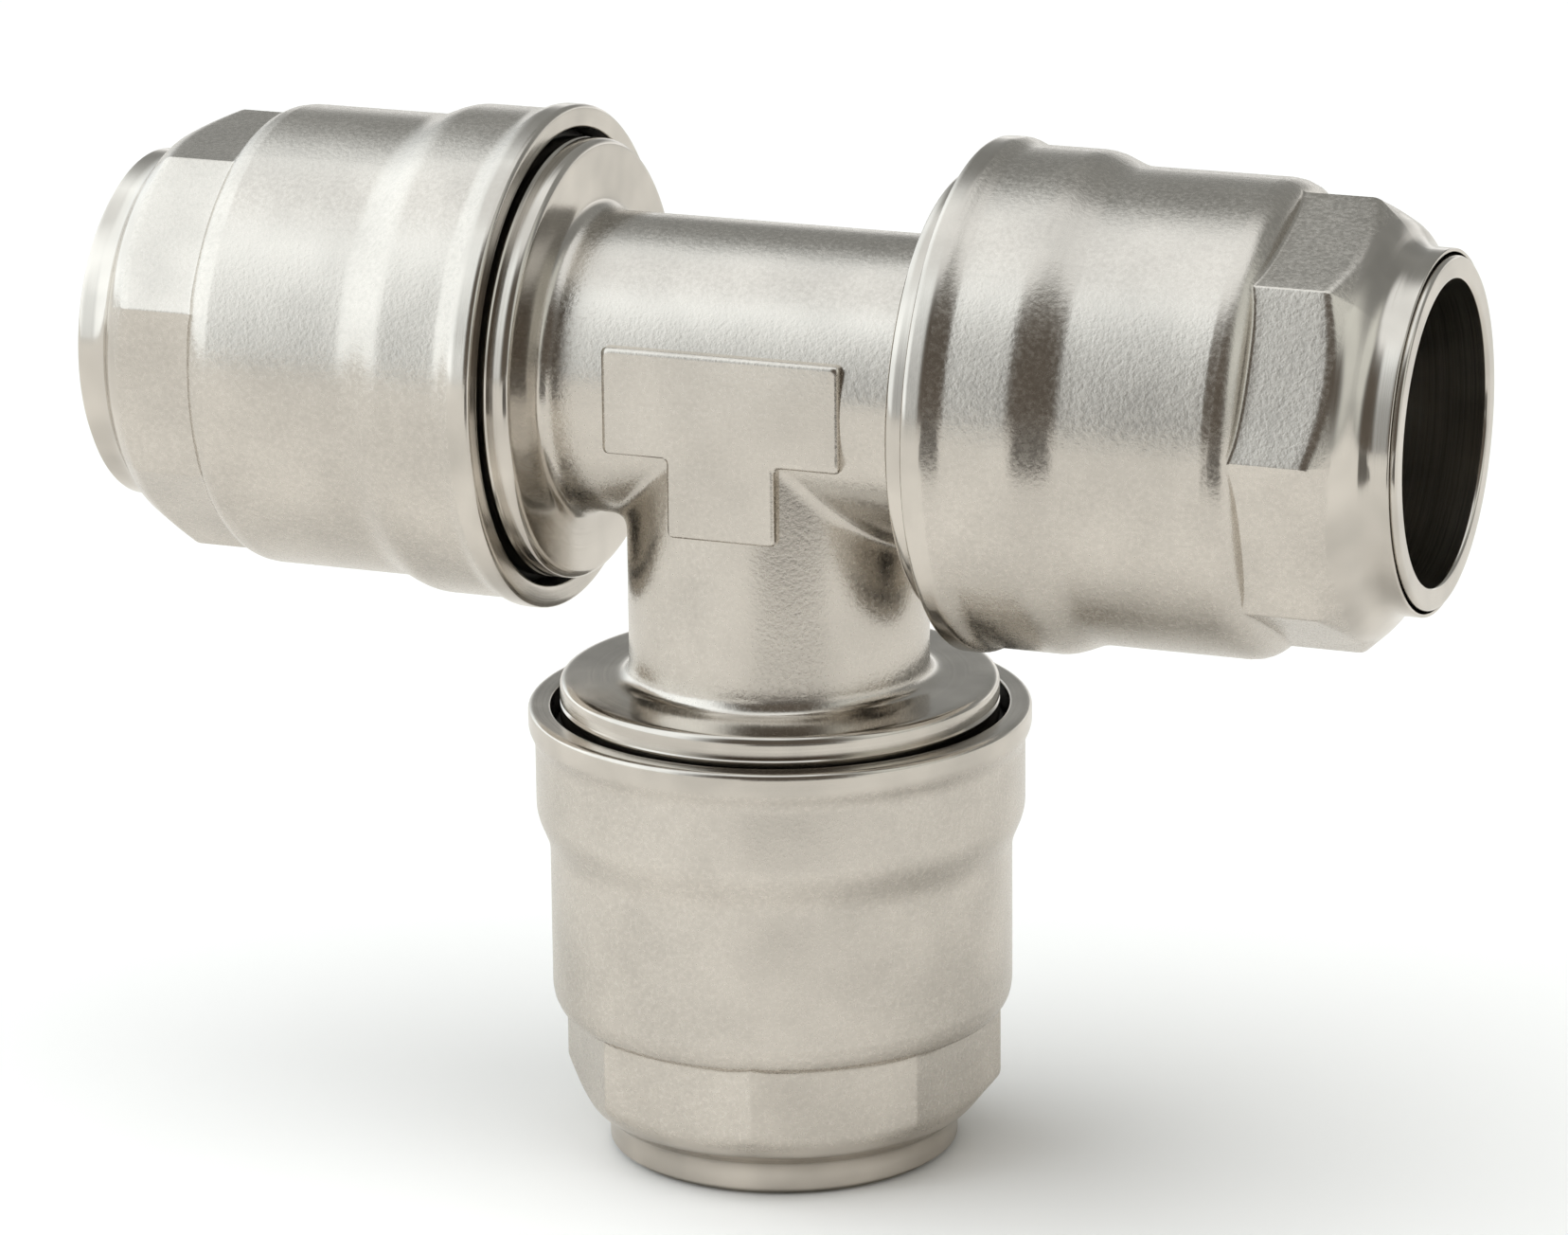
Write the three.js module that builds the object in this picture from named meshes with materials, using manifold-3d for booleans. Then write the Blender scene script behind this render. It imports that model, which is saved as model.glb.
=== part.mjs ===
// Equal tee push to connect fitting for 20 mm tube, in nickel-plated brass.
//
// Units are millimetres, +Z is up. The run lies along X and the branch points down, so the
// fitting stands on the end of its branch collet and the origin is the centre of that end face.
// Each port is one set of pieces around its own axis. Along a port, distances are measured
// outwards from the point where the run and the branch axes cross.

import * as THREE from 'three';
import { mergeVertices } from 'three/addons/utils/BufferGeometryUtils.js';
import Module from 'manifold-3d';

const wasm = await Module();
wasm.setup();

// ---------------------------------------------------------------- driving dimensions

const TUBE_RADIUS = 10;
const GAP = 0.3; // running and assembly clearance between neighbouring pieces
const OVERRUN = 1; // how far a cutter runs out past the surface that it opens
const ROUND_SEGMENTS = 32;
const HIDDEN_SEGMENTS = 24; // plain rings that are closed in by the nut
const SEAL_SECTION_SEGMENTS = 8;

const PORT_REACH = 46.7; // from the axes' crossing to the end of a run collet
const BRANCH_EXTRA = 7.7; // the branch arm is longer, so that its nut clears the run nuts
const AXIS_HEIGHT = PORT_REACH + BRANCH_EXTRA;

// Tee body: forged barrels, a flange at each port, and a threaded socket beyond it.
const BARREL_RADIUS = 10.25;
const WATERWAY_RADIUS = 8.25;
const BARREL_FILLET = 0.8;
const FLANGE_RADIUS = 15;
const FLANGE_START = 13.2;
const FLANGE_END = 16.2;
const FLANGE_EDGE = 0.3;
const TUBE_STOP = 14;
const SOCKET_RADIUS = 10.1;
const DUST_GROOVE_RADIUS = 13.6;
const DUST_GROOVE_END = 18.4;
const THREAD_RADIUS = 14.5;
const GLAND_RADIUS = 12.7;
const GLAND_START = 22.3;
const SOCKET_END = 31.5;
const SOCKET_EDGE = 0.5;

// Raised flat T on the front of the body, a place for marking.
const PAD_FACE = 10.5; // distance of its face from the axes
const PAD_ROOT = 8.7;
const PAD_BAR_HALF_WIDTH = 8.45;
const PAD_BAR_TOP = 3.7;
const PAD_BAR_BOTTOM = -3.6;
const PAD_STEM_HALF_WIDTH = 3.85;
const PAD_STEM_BOTTOM = -9;

// Nut: a bell mouth over the flange, a round collar, and eight wrench flats.
const NUT_START = 15.1;
const LIP_EDGE = 0.3;
const LIP_WIDTH = 1.3;
const NUT_MOUTH_RADIUS = 15.9;
const NUT_MOUTH_DEPTH = 3.9;
const LIP_RADIUS = 17.2;
const COLLAR_RADIUS = 16.75;
const COLLAR_START = 17.8;
const COLLAR_END = 21.8;
const TAPER_ROUNDING_LENGTH = 1.6; // the taper runs into the sleeve over this length
const TAPER_ROUNDING_RISE = 0.4;
const SLEEVE_RADIUS = 15.85;
const SLEEVE_START = 25.6;
const SLEEVE_END = 35;
const SHOULDER_END = 37; // the sleeve's end is rounded down to the wrench flats
const SHOULDER_FULLNESS = 0.72; // where the rounding's middle lies: 0.5 would be a straight cone
const FLATS_COUNT = 8;
const ACROSS_FLATS = 28;
const CORNER_RADIUS = ACROSS_FLATS / 2 / Math.cos(Math.PI / FLATS_COUNT);
const NOSE_START = 41.6; // the nose is a cone that cuts the flats' corners, slightly rounded
const NOSE_BULGE = 0.15;
const NOSE_END = 44.4;
const NECK_OUTER_RADIUS = 12.05; // a short neck around the collet
const NUT_END = 46.3;
const NECK_EDGE = 0.15;
const NECK_RADIUS = 11.5;
const NECK_START = 41.6;
const POCKET_RADIUS = 13.1;
const POCKET_START = 33.7;

// Release collet: a push ring with a retaining flange inside the nut.
const COLLET_BORE_RADIUS = TUBE_RADIUS + 0.05;
const COLLET_NOSE = 31.3;
const COLLET_RADIUS = 11.2;
const COLLET_FLANGE_RADIUS = 12.8;
const COLLET_FLANGE_THICKNESS = 1.5;
const COLLET_EDGE = 0.3;

// Rings stacked in the socket, from the inside outwards.
const TUBE_SEAL_RADIUS = 11.15;
const TUBE_SEAL_THICKNESS = 2.6;
const BACKUP_THICKNESS = 1.8;
const BACKUP_BORE_RADIUS = 10.3;
const RING_RADIUS = GLAND_RADIUS - GAP;
const GRIP_TIP_RADIUS = TUBE_RADIUS - 0.15;
const GRIP_RIM_BORE_RADIUS = 11.6;
const GRIP_TIP = 27.9;
const GRIP_RIM_END = 29.8;
const GRIP_THICKNESS = 0.6;
const GRIP_TEETH = 16;
const GRIP_SLOT_WIDTH = 0.9;
const WEDGE_START = GRIP_RIM_END + GAP;
const WEDGE_BORE_RADIUS = 11.6;
const WEDGE_FLANGE_RADIUS = 14.3;
const WEDGE_END = 38;
const WEDGE_CONE = 0.7;
const WEDGE_EDGE = 0.2;
const DUST_SEAL_RADIUS = 14.75;
const DUST_SEAL_THICKNESS = 1.7;

// Each port's axis, and where one nut corner stands around it, measured from the front (-Y).
const LEFT_PORT = { side: 'left', axis: [-1, 0, 0], extra: 0, corner: -17.8 };
const RIGHT_PORT = { side: 'right', axis: [1, 0, 0], extra: 0, corner: 3.5 };
const BRANCH_PORT = { side: 'branch', axis: [0, 0, -1], extra: BRANCH_EXTRA, corner: 13 };
const PORTS = [LEFT_PORT, RIGHT_PORT, BRANCH_PORT];

const MATERIALS = {
  satinNickel: { color: 0xc8c3b9, roughness: 0.42, metalness: 1 },
  brightNickel: { color: 0xcfcac0, roughness: 0.22, metalness: 1 },
  brass: { color: 0xc9a35c, roughness: 0.3, metalness: 1 },
  stainless: { color: 0xb9bbbd, roughness: 0.25, metalness: 1 },
  sealRubber: { color: 0x151515, roughness: 0.7, metalness: 0 },
  backupPlastic: { color: 0xe8e4da, roughness: 0.5, metalness: 0 },
};

// ---------------------------------------------------------------- geometry helpers

function material(name) {
  return new THREE.MeshStandardMaterial({ name, ...MATERIALS[name] });
}

// Keeps positions only, with shared corners merged, so that the surface is closed.
function closedSurface(geometry) {
  geometry.deleteAttribute('normal');
  geometry.deleteAttribute('uv');
  return mergeVertices(geometry);
}

function toSolid(geometry) {
  const surface = closedSurface(geometry.clone());
  const vertProperties = new Float32Array(surface.attributes.position.array);
  const triVerts = new Uint32Array(surface.index.array);
  return new wasm.Manifold(new wasm.Mesh({ numProp: 3, vertProperties, triVerts }));
}

function toGeometry(solid) {
  const { vertProperties, triVerts } = solid.getMesh();
  const geometry = new THREE.BufferGeometry();
  geometry.setAttribute('position', new THREE.BufferAttribute(vertProperties, 3));
  geometry.setIndex(new THREE.BufferAttribute(triVerts, 1));
  return geometry;
}

// A turned piece around +Y. The outline is a list of [distance, radius] pairs.
function turned(outline, segments = ROUND_SEGMENTS) {
  const points = outline.map(([distance, radius]) => new THREE.Vector2(radius, distance));
  return new THREE.LatheGeometry(points, segments);
}

// A turned ring: its outer side from the inside outwards, then its inner side back again.
function turnedRing(outer, inner, segments = ROUND_SEGMENTS) {
  return turned([...outer, ...inner, outer[0]], segments);
}

// A turned solid, closed onto its axis at both ends. Given a port, it lies along that port.
function turnedSolid(side, port) {
  const start = side[0][0];
  const end = side[side.length - 1][0];
  const geometry = turned([[start, 0], ...side, [end, 0]]);
  if (port) geometry.applyMatrix4(portTurn(port));
  return toSolid(geometry);
}

// A ring of round section, centred at a distance along the port.
function sealRing(distance, ringRadius, thickness) {
  const geometry = new THREE.TorusGeometry(
    ringRadius,
    thickness / 2,
    SEAL_SECTION_SEGMENTS,
    HIDDEN_SEGMENTS,
  );
  geometry.rotateX(Math.PI / 2);
  geometry.translate(0, distance, 0);
  return closedSurface(geometry);
}

// Turns the port's own frame (+Y outwards, +X to the front) into the object's directions.
function portTurn(port) {
  const outwards = new THREE.Vector3(...port.axis);
  const front = new THREE.Vector3(0, -1, 0);
  const side = new THREE.Vector3().crossVectors(front, outwards);
  return new THREE.Matrix4().makeBasis(front, outwards, side);
}

function portGroup(port) {
  const group = new THREE.Group();
  group.setRotationFromMatrix(portTurn(port));
  group.position.set(...port.axis).multiplyScalar(port.extra);
  group.position.z += AXIS_HEIGHT;
  return group;
}

// ---------------------------------------------------------------- tee body

// Outer side of one arm, from where its barrel meets the flange to the end of the socket.
function armSide(extra) {
  const side = [
    [FLANGE_START - BARREL_FILLET, BARREL_RADIUS],
    [FLANGE_START, BARREL_RADIUS + BARREL_FILLET],
    [FLANGE_START, FLANGE_RADIUS - FLANGE_EDGE],
    [FLANGE_START + FLANGE_EDGE, FLANGE_RADIUS],
    [FLANGE_END, FLANGE_RADIUS],
    [FLANGE_END, DUST_GROOVE_RADIUS],
    [DUST_GROOVE_END, DUST_GROOVE_RADIUS],
    [DUST_GROOVE_END, THREAD_RADIUS],
    [SOCKET_END - SOCKET_EDGE, THREAD_RADIUS],
    [SOCKET_END, THREAD_RADIUS - SOCKET_EDGE],
  ];
  return side.map(([distance, radius]) => [distance + extra, radius]);
}

// The hollow of one arm: waterway, tube socket and gland, running out past the end.
function armBore(extra) {
  const side = [
    [TUBE_STOP, WATERWAY_RADIUS],
    [TUBE_STOP, SOCKET_RADIUS],
    [GLAND_START, SOCKET_RADIUS],
    [GLAND_START, GLAND_RADIUS],
    [SOCKET_END + OVERRUN, GLAND_RADIUS],
  ];
  return side.map(([distance, radius]) => [distance + extra, radius]);
}

// The run goes both ways from the middle; the branch only one way.
function bothWays(side) {
  const mirrored = side.map(([distance, radius]) => [-distance, radius]).reverse();
  return [...mirrored, ...side];
}

function padSolid() {
  const outline = new THREE.Shape();
  outline.moveTo(-PAD_BAR_HALF_WIDTH, PAD_BAR_TOP);
  outline.lineTo(-PAD_BAR_HALF_WIDTH, PAD_BAR_BOTTOM);
  outline.lineTo(-PAD_STEM_HALF_WIDTH, PAD_BAR_BOTTOM);
  outline.lineTo(-PAD_STEM_HALF_WIDTH, PAD_STEM_BOTTOM);
  outline.lineTo(PAD_STEM_HALF_WIDTH, PAD_STEM_BOTTOM);
  outline.lineTo(PAD_STEM_HALF_WIDTH, PAD_BAR_BOTTOM);
  outline.lineTo(PAD_BAR_HALF_WIDTH, PAD_BAR_BOTTOM);
  outline.lineTo(PAD_BAR_HALF_WIDTH, PAD_BAR_TOP);
  const plate = new THREE.ExtrudeGeometry(outline, {
    depth: PAD_FACE - PAD_ROOT,
    bevelEnabled: false,
  });
  plate.rotateX(Math.PI / 2);
  plate.translate(0, -PAD_ROOT, 0);
  return toSolid(plate);
}

function teeBody() {
  const run = turnedSolid(bothWays(armSide(RIGHT_PORT.extra)), RIGHT_PORT);
  const branch = turnedSolid([[0, BARREL_RADIUS], ...armSide(BRANCH_PORT.extra)], BRANCH_PORT);
  const runBore = turnedSolid(bothWays(armBore(RIGHT_PORT.extra)), RIGHT_PORT);
  const branchBore = turnedSolid([[0, WATERWAY_RADIUS], ...armBore(BRANCH_PORT.extra)], BRANCH_PORT);
  const outside = run.add(branch).add(padSolid());
  const geometry = toGeometry(outside.subtract(runBore.add(branchBore)));
  geometry.translate(0, 0, AXIS_HEIGHT);
  return geometry;
}

// ---------------------------------------------------------------- one port's pieces

// The nut as turned, from its mouth to the end of the sleeve's rounded shoulder.
function nutSleeve() {
  const shoulderDrop = SLEEVE_RADIUS - ACROSS_FLATS / 2;
  const shoulderLength = SHOULDER_END - SLEEVE_END;
  const side = [
    [NUT_START, LIP_RADIUS - LIP_EDGE],
    [NUT_START + LIP_EDGE, LIP_RADIUS],
    [NUT_START + LIP_WIDTH, LIP_RADIUS],
    [COLLAR_START, COLLAR_RADIUS],
    [COLLAR_END, COLLAR_RADIUS],
    [SLEEVE_START - TAPER_ROUNDING_LENGTH, SLEEVE_RADIUS + TAPER_ROUNDING_RISE],
    [SLEEVE_START, SLEEVE_RADIUS],
    [SLEEVE_END, SLEEVE_RADIUS],
    [
      SLEEVE_END + shoulderLength * SHOULDER_FULLNESS,
      ACROSS_FLATS / 2 + shoulderDrop * SHOULDER_FULLNESS,
    ],
    [SHOULDER_END, ACROSS_FLATS / 2],
  ];
  return turnedSolid(side);
}

// The eight wrench flats, with the nose cone cutting their outer corners, and the neck beyond.
function nutFlats(cornerDegrees) {
  const length = NUT_END - SLEEVE_END;
  const prism = new THREE.CylinderGeometry(CORNER_RADIUS, CORNER_RADIUS, length, FLATS_COUNT);
  prism.rotateY(Math.PI / 2 - THREE.MathUtils.degToRad(cornerDegrees));
  prism.translate(0, NUT_END - length / 2, 0);
  const nose = turnedSolid([
    [SLEEVE_END - OVERRUN, CORNER_RADIUS + OVERRUN],
    [NOSE_START, CORNER_RADIUS + OVERRUN],
    [NOSE_START, CORNER_RADIUS],
    [(NOSE_START + NOSE_END) / 2, (CORNER_RADIUS + NECK_OUTER_RADIUS) / 2 + NOSE_BULGE],
    [NOSE_END, NECK_OUTER_RADIUS],
    [NUT_END - NECK_EDGE, NECK_OUTER_RADIUS],
    [NUT_END, NECK_OUTER_RADIUS - NECK_EDGE],
  ]);
  return toSolid(prism).intersect(nose);
}

// Mouth, thread, pocket for the collet's flange, and neck, running out past both ends.
function nutHollow() {
  const mouthEnd = NUT_START + NUT_MOUTH_DEPTH;
  const threadBore = THREAD_RADIUS + GAP;
  return turnedSolid([
    [NUT_START - OVERRUN, NUT_MOUTH_RADIUS],
    [mouthEnd, NUT_MOUTH_RADIUS],
    [mouthEnd, threadBore],
    [POCKET_START, threadBore],
    [POCKET_START, POCKET_RADIUS],
    [NECK_START, POCKET_RADIUS],
    [NECK_START, NECK_RADIUS],
    [NUT_END + OVERRUN, NECK_RADIUS],
  ]);
}

function nut(port) {
  return toGeometry(nutSleeve().add(nutFlats(port.corner)).subtract(nutHollow()));
}

function releaseCollet() {
  const flangeEnd = NECK_START - GAP;
  const flangeStart = flangeEnd - COLLET_FLANGE_THICKNESS;
  const outer = [
    [COLLET_NOSE, COLLET_RADIUS - COLLET_EDGE],
    [COLLET_NOSE + COLLET_EDGE, COLLET_RADIUS],
    [flangeStart, COLLET_RADIUS],
    [flangeStart, COLLET_FLANGE_RADIUS],
    [flangeEnd, COLLET_FLANGE_RADIUS],
    [flangeEnd, COLLET_RADIUS],
    [PORT_REACH - COLLET_EDGE, COLLET_RADIUS],
    [PORT_REACH, COLLET_RADIUS - COLLET_EDGE],
  ];
  const inner = [
    [PORT_REACH, COLLET_BORE_RADIUS + COLLET_EDGE],
    [PORT_REACH - COLLET_EDGE, COLLET_BORE_RADIUS],
    [COLLET_NOSE, COLLET_BORE_RADIUS],
  ];
  return closedSurface(turnedRing(outer, inner));
}

function wedgeRing() {
  const flangeStart = SOCKET_END + GAP;
  const flangeEnd = POCKET_START - GAP;
  const sleeveRadius = POCKET_RADIUS - GAP;
  const outer = [
    [WEDGE_START, RING_RADIUS],
    [flangeStart, RING_RADIUS],
    [flangeStart, WEDGE_FLANGE_RADIUS],
    [flangeEnd, WEDGE_FLANGE_RADIUS],
    [flangeEnd, sleeveRadius],
    [WEDGE_END, sleeveRadius],
  ];
  const inner = [
    [WEDGE_END, WEDGE_BORE_RADIUS],
    [WEDGE_START + WEDGE_CONE, WEDGE_BORE_RADIUS],
    [WEDGE_START, RING_RADIUS - WEDGE_EDGE],
  ];
  return closedSurface(turnedRing(outer, inner, HIDDEN_SEGMENTS));
}

// A dished washer with its inner edge slit into teeth that lean inwards along the tube.
function gripRing() {
  const rimStart = GRIP_RIM_END - GRIP_THICKNESS;
  const outer = [
    [GRIP_TIP, GRIP_TIP_RADIUS],
    [rimStart, GRIP_RIM_BORE_RADIUS],
    [rimStart, RING_RADIUS],
    [GRIP_RIM_END, RING_RADIUS],
  ];
  const inner = [
    [GRIP_RIM_END, GRIP_RIM_BORE_RADIUS],
    [GRIP_TIP + GRIP_THICKNESS, GRIP_TIP_RADIUS],
  ];
  const slotLength = GRIP_RIM_BORE_RADIUS - GRIP_TIP_RADIUS + OVERRUN;
  const slotDepth = GRIP_RIM_END - GRIP_TIP + 2 * OVERRUN;
  let ring = toSolid(turnedRing(outer, inner));
  for (let tooth = 0; tooth < GRIP_TEETH; tooth += 1) {
    const slot = new THREE.BoxGeometry(slotLength, slotDepth, GRIP_SLOT_WIDTH);
    slot.translate(GRIP_RIM_BORE_RADIUS - slotLength / 2, (GRIP_TIP + GRIP_RIM_END) / 2, 0);
    slot.rotateY(((tooth + 0.5) / GRIP_TEETH) * 2 * Math.PI);
    ring = ring.subtract(toSolid(slot));
  }
  return toGeometry(ring);
}

function backupWasher() {
  const start = GLAND_START + GAP + TUBE_SEAL_THICKNESS + GAP;
  const end = start + BACKUP_THICKNESS;
  const outer = [
    [start, RING_RADIUS],
    [end, RING_RADIUS],
  ];
  const inner = [
    [end, BACKUP_BORE_RADIUS],
    [start, BACKUP_BORE_RADIUS],
  ];
  return closedSurface(turnedRing(outer, inner, HIDDEN_SEGMENTS));
}

function tubeSeal() {
  const distance = GLAND_START + GAP + TUBE_SEAL_THICKNESS / 2;
  return sealRing(distance, TUBE_SEAL_RADIUS, TUBE_SEAL_THICKNESS);
}

function dustSeal() {
  const distance = (FLANGE_END + DUST_GROOVE_END) / 2;
  return sealRing(distance, DUST_SEAL_RADIUS, DUST_SEAL_THICKNESS);
}

// ---------------------------------------------------------------- assembly

const PORT_PIECES = [
  { name: 'nut', make: nut, finish: 'satinNickel' },
  { name: 'release_collet', make: releaseCollet, finish: 'brightNickel' },
  { name: 'wedge_ring', make: wedgeRing, finish: 'brass' },
  { name: 'grip_ring', make: gripRing, finish: 'stainless' },
  { name: 'backup_washer', make: backupWasher, finish: 'backupPlastic' },
  { name: 'tube_seal', make: tubeSeal, finish: 'sealRubber' },
  { name: 'dust_seal', make: dustSeal, finish: 'sealRubber' },
];

function named(name, geometry, finish) {
  const mesh = new THREE.Mesh(geometry, material(finish));
  mesh.name = name;
  return mesh;
}

const fitting = new THREE.Group();
fitting.add(named('tee_body', teeBody(), 'satinNickel'));
for (const port of PORTS) {
  const group = portGroup(port);
  for (const piece of PORT_PIECES) {
    group.add(named(`${piece.name}_${port.side}`, piece.make(port), piece.finish));
  }
  fitting.add(group);
}

export default fitting;
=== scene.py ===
"""Looks for the push to connect tee fitting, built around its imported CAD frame.

Lengths are metres in the CAD frame: +X along the run, +Z up, and the front faces -Y.
Every ring of a port is drawn as outlines of (distance along the port, radius) pairs, one for each
angle around the port's axis. Distances run outwards from the crossing of the axes. Angles start
at the front and turn towards +Z on the run ports, and towards +X on the branch.
"""

import math

import bmesh
import bpy
import numpy as np
from mathutils import Matrix, Vector


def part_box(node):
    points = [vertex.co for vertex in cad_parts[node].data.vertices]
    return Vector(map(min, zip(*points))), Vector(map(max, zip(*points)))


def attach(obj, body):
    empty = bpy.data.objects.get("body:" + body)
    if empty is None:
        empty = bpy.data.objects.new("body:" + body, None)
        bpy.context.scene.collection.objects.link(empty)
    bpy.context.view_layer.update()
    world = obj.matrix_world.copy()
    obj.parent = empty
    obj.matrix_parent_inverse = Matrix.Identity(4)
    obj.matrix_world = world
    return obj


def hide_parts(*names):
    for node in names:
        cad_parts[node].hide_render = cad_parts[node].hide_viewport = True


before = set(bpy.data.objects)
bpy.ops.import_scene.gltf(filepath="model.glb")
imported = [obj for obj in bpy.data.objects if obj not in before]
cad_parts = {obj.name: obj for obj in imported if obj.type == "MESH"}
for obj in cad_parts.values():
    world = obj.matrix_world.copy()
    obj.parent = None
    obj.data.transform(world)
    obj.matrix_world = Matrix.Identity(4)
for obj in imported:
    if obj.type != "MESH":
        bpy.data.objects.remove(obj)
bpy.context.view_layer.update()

MM = 0.001

# ------------------------------------------------------------------ sizes, from the frame

NUT_LOW, NUT_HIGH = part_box("nut_right")
COLLET_LOW, COLLET_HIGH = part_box("release_collet_right")
BRANCH_LOW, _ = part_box("release_collet_branch")
_, BODY_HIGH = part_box("tee_body")
WEDGE_LOW, WEDGE_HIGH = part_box("wedge_ring_right")
GRIP_LOW, GRIP_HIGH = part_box("grip_ring_right")
WASHER_LOW, WASHER_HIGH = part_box("backup_washer_right")
TUBE_SEAL_LOW, TUBE_SEAL_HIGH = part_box("tube_seal_right")
DUST_SEAL_LOW, DUST_SEAL_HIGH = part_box("dust_seal_right")

AXIS_HEIGHT = (NUT_LOW.z + NUT_HIGH.z) / 2
PORT_REACH = COLLET_HIGH.x
BRANCH_EXTRA = AXIS_HEIGHT - BRANCH_LOW.z - PORT_REACH
SOCKET_END = BODY_HIGH.x
FLANGE_RADIUS = BODY_HIGH.z - AXIS_HEIGHT
NUT_START, NUT_END = NUT_LOW.x, NUT_HIGH.x
LIP_RADIUS = NUT_HIGH.z - AXIS_HEIGHT
RING_RADIUS = GRIP_HIGH.z - AXIS_HEIGHT

# ------------------------------------------------------------------ sizes of finer features

# How far most machined edges are rounded.
FINE_EDGE = 0.1 * MM
SMALL_EDGE = 0.15 * MM
SOFT_EDGE = 0.2 * MM

BARREL_RADIUS = 10.25 * MM
BARREL_FILLET = 1.1 * MM
BARREL_ROWS_END = 10.7 * MM
BARREL_ROWS = 16
BARREL_ROW_SPREAD = 1.5  # above 1, the rows are closer together near the crossing
WATERWAY_RADIUS = 8.25 * MM
CREASE_BLEND = 1.3 * MM
CREASE_PASSES = 3
FLANGE_START = 13.2 * MM
FLANGE_END = 16.2 * MM
FLANGE_LINE = 14.75 * MM
FLANGE_LINE_SIZE = 0.16 * MM
FLANGE_EDGE = 0.6 * MM
TUBE_STOP = 14 * MM
SOCKET_RADIUS = 10.1 * MM
DUST_GROOVE_RADIUS = 13.6 * MM
DUST_GROOVE_END = 18.4 * MM
THREAD_RADIUS = 14.5 * MM
THREAD_DEPTH = 0.55 * MM
THREAD_PITCH = 1.5 * MM
THREAD_START = 19.2 * MM
THREAD_RUNOUT = 0.7 * MM
SOCKET_CHAMFER = 0.5 * MM
THREAD_ROWS_PER_TURN = 8
GLAND_RADIUS = 12.7 * MM
GLAND_START = 22.3 * MM

PAD_FACE = 10.5 * MM
PAD_ROOT = 9 * MM
PAD_BAR_HALF_WIDTH = 8.45 * MM
PAD_BAR_TOP = 3.7 * MM
PAD_BAR_BOTTOM = -3.6 * MM
PAD_STEM_HALF_WIDTH = 3.85 * MM
PAD_STEM_BOTTOM = -9 * MM
PAD_CORNER = 0.45 * MM
PAD_EDGE = 0.32 * MM
PAD_EDGE_STEPS = 4

MOUTH_RADIUS = 15.65 * MM
MOUTH_DEPTH = 3.9 * MM
MOUTH_EDGE = 0.25 * MM
LIP_WIDTH = 1.5 * MM
LIP_EDGE = 0.4 * MM
LIP_FOOT = 0.35 * MM
COLLAR_RADIUS = 16.75 * MM
COLLAR_START = 17.6 * MM
COLLAR_END = 22.6 * MM
COLLAR_FOOT = 0.4 * MM
TAPER_EDGE = 0.7 * MM
SLEEVE_RADIUS = 15.85 * MM
SLEEVE_START = 24.8 * MM
SLEEVE_END = 35 * MM
SHOULDER_END = 37 * MM
SHOULDER_FULLNESS = 0.72
SHOULDER_ROWS = 5
SHOULDER_START_EDGE = 0.12 * MM
SHOULDER_END_EDGE = 0.3 * MM
INRADIUS = 14 * MM
FLATS = 8
FLAT_ANGLE = 2 * math.pi / FLATS
CORNER_ROUNDING = 0.25 * MM
NOSE_START = 41.6 * MM
NOSE_SLANT = 0.7  # how far outwards the flats' end moves, for each unit nearer to the axis
NOSE_MIDDLE = (43.45 * MM, 13.45 * MM)
NOSE_END = 44.4 * MM
NOSE_START_EDGE = 0.4 * MM
NOSE_MIDDLE_EDGE = 0.5 * MM
NOSE_END_EDGE = 0.8 * MM
NECK_OUTER_RADIUS = 12.05 * MM
NECK_RADIUS = 11.8 * MM
NECK_START = 41.6 * MM
NECK_OUTER_EDGE = 0.12 * MM
NECK_INNER_EDGE = 0.08 * MM
POCKET_RADIUS = 13.1 * MM
POCKET_START = 33.7 * MM
NUT_THREAD_RADIUS = 14.8 * MM
NUT_THREAD_DEPTH = 0.4 * MM
NUT_THREAD_LEAD = 0.3 * MM
NUT_THREAD_RUNOUT = 0.5 * MM

COLLET_BORE = 10.05 * MM
COLLET_RADIUS = 11.6 * MM
COLLET_NOSE_RADIUS = 11.2 * MM
COLLET_FLANGE_RADIUS = 12.8 * MM
COLLET_FLANGE_START = 39.8 * MM
COLLET_FLANGE_END = 41.3 * MM
COLLET_END_EDGE = 0.3 * MM
COLLET_TIP_EDGE = 0.5 * MM
WEDGE_BORE = 11.6 * MM
WEDGE_FLANGE_RADIUS = 14.3 * MM
WEDGE_FLANGE_START = 31.8 * MM
WEDGE_FLANGE_END = 33.4 * MM
WEDGE_SLEEVE_RADIUS = 12.8 * MM
WEDGE_CONE = 0.7 * MM
WEDGE_TIP_EDGE = 0.08 * MM
WASHER_BORE = 10.3 * MM
GRIP_TIP_RADIUS = 9.85 * MM
GRIP_RIM_BORE = 11.6 * MM
GRIP_THICKNESS = 0.6 * MM
GRIP_TEETH = 16
GRIP_PITCH = 2 * math.pi / GRIP_TEETH
GRIP_SLOT_ANGLE = math.radians(4.8)
GRIP_SLOT_WALL = math.radians(0.2)
GRIP_SLOT_REACH = 0.04  # how far the ring still reaches inwards between two teeth

ROUND_STEPS = 160
SEAL_STEPS = 128
INNER_RING_STEPS = 96
SEAL_SECTION_STEPS = 24
ARC_STEPS = 6
FLAT_STEPS = 14
CORNER_STEPS = 6
TOOTH_STEPS = 6

SAME_PLACE = 1e-6
TINY = 1e-9


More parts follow.
